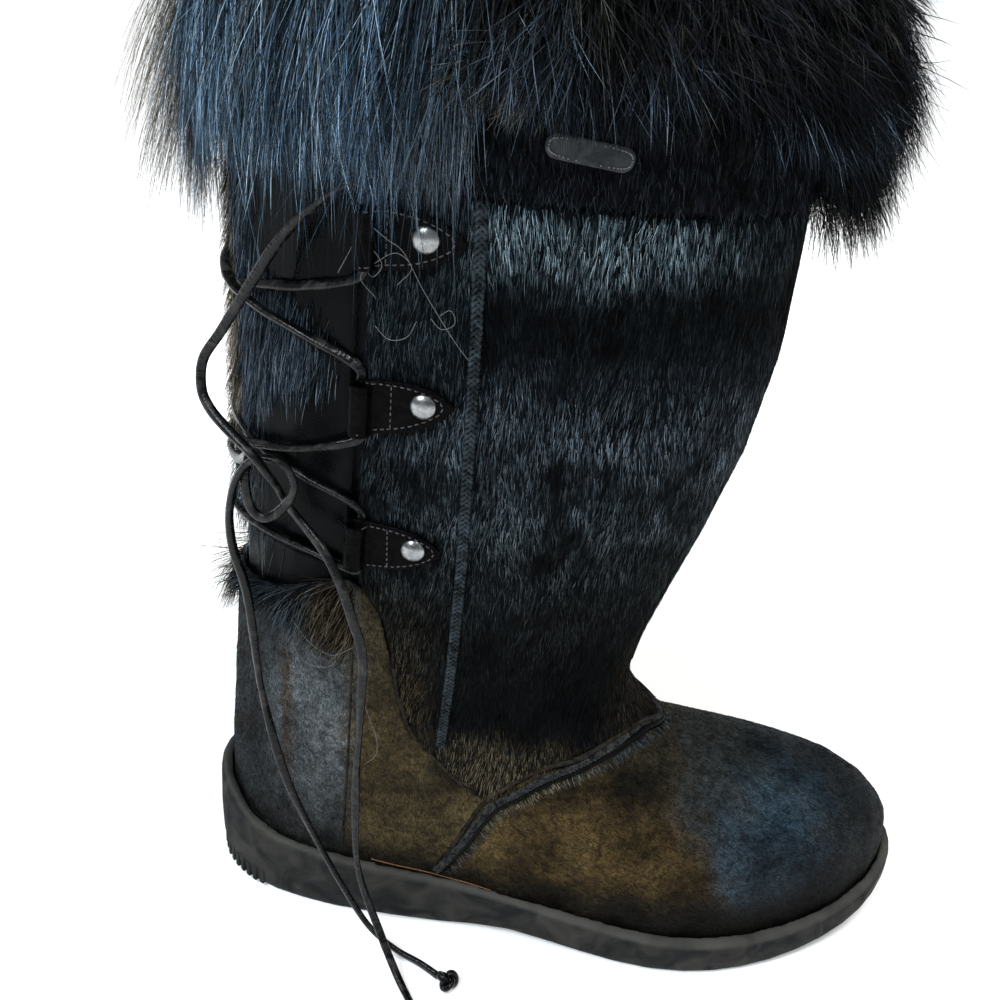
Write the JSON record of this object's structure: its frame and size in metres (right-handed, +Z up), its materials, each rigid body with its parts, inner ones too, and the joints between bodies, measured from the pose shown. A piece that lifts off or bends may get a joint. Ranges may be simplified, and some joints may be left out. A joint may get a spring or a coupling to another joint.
{
  "type": "winter boot",
  "caption": "Right-foot tall winter boot in short-haired hide, with a folded long-haired fur cuff, back-quarter lacing through riveted tabs, a collar band and a rubber cup sole.",
  "frame": {"origin": "on the ground under the middle of the boot's bounding box, its loose lace ends left out", "axes": "+X from heel to toe, +Y to the medial side of this right boot, +Z up along the leg"},
  "size_m": [0.2968, 0.1711, 0.3521],
  "materials": {
    "sole_rubber": "matt dark grey rubber with a lighter worn lip",
    "insole_felt": "felt footbed",
    "foot_hide": "short hair-on hide, brown-olive with a blue-grey toe and a grey worn heel",
    "leg_hide": "short black hair-on hide with blue-grey sheen bands",
    "gusset_hide": "dark smooth leather under long hanging hair",
    "band_leather": "dark close-haired band",
    "cuff_fur": "long blue-black fur at the back, spikier and silver-tipped in front",
    "label_plastic": "blank dark plate with a dotted edge",
    "tab_leather": "black smooth leather with white-grey edge stitching",
    "rivet_metal": "satin domed caps",
    "lace_cord": "black waxed cord"
  },
  "bodies": {
    "root": {"outsole": "sole_rubber", "insole": "insole_felt", "upper": "foot_hide", "shaft": "leg_hide", "tongue": "gusset_hide", "collar_band": "band_leather", "fur_cuff": "cuff_fur", "label_plate": "label_plastic", "tab_near_top": "tab_leather", "tab_near_middle": "tab_leather", "tab_near_bottom": "tab_leather", "tab_far_top": "tab_leather", "tab_far_middle": "tab_leather", "tab_far_bottom": "tab_leather", "rivet_near_top": "rivet_metal", "rivet_near_middle": "rivet_metal", "rivet_near_bottom": "rivet_metal", "rivet_far_top": "rivet_metal", "rivet_far_middle": "rivet_metal", "rivet_far_bottom": "rivet_metal", "lace_crossings": "lace_cord", "lace_end_near": "lace_cord", "lace_end_far": "lace_cord", "lace_knot_near": "lace_cord", "lace_knot_far": "lace_cord"}
  },
  "joints": []
}
